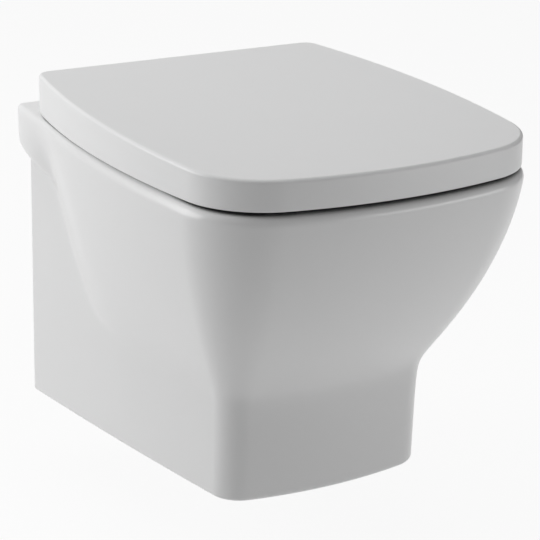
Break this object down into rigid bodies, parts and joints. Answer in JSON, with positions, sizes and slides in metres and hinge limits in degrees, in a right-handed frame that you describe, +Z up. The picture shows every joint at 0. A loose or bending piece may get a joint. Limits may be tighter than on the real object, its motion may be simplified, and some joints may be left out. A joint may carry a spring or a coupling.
{
  "type": "wall hung toilet",
  "caption": "Wall hung toilet pan with a boxed foot and flared belly, a seat ring and a wrap-over lid on soft-closing hinges.",
  "frame": {"origin": "middle of the two wall fixings, on the wall face", "axes": "+Z up, -Y to the front, away from the wall, +X to the right seen from the front"},
  "size_m": [0.3632, 0.4826, 0.3614],
  "materials": {
    "glazed_china": "high gloss white glaze",
    "seat_resin": "gloss white moulded resin",
    "hinge_metal": "satin plated",
    "pin_steel": "plain stainless",
    "zinc_steel": "zinc plated",
    "knuckle_plastic": "fine matt moulding",
    "sleeve_plastic": "plain moulding",
    "damper_plastic": "plain moulding",
    "black_rubber": "matt",
    "clear_rubber": "matt, slightly grey"
  },
  "bodies": {
    "pan": {"pan": "glazed_china", "wall_sleeves": "sleeve_plastic", "wall_washers": "zinc_steel", "wall_nuts": "zinc_steel", "hinge_base_left": "hinge_metal", "hinge_base_right": "hinge_metal", "hinge_pin_left": "pin_steel", "hinge_pin_right": "pin_steel", "seat_bolts": "pin_steel", "expanding_sleeves": "black_rubber", "cone_nuts": "sleeve_plastic"},
    "seat": {"seat_ring": "seat_resin", "seat_knuckle_left": "knuckle_plastic", "seat_knuckle_right": "knuckle_plastic", "seat_knuckle_screws": "pin_steel", "seat_damper": "damper_plastic", "seat_buffers": "clear_rubber"},
    "lid": {"lid": "seat_resin", "lid_knuckle_left": "knuckle_plastic", "lid_knuckle_right": "knuckle_plastic", "lid_knuckle_screws": "pin_steel", "lid_damper": "damper_plastic", "lid_buffers": "clear_rubber"}
  },
  "joints": [
    {"name": "seat_hinge", "type": "hinge", "parent": "pan", "child": "seat", "pos_m": [0, -0.037, 0.1125], "axis": [-1, 0, 0], "range_deg": [0, 93]},
    {"name": "lid_hinge", "type": "hinge", "parent": "seat", "child": "lid", "pos_m": [0, -0.037, 0.1125], "axis": [-1, 0, 0], "range_deg": [0, 93]}
  ]
}
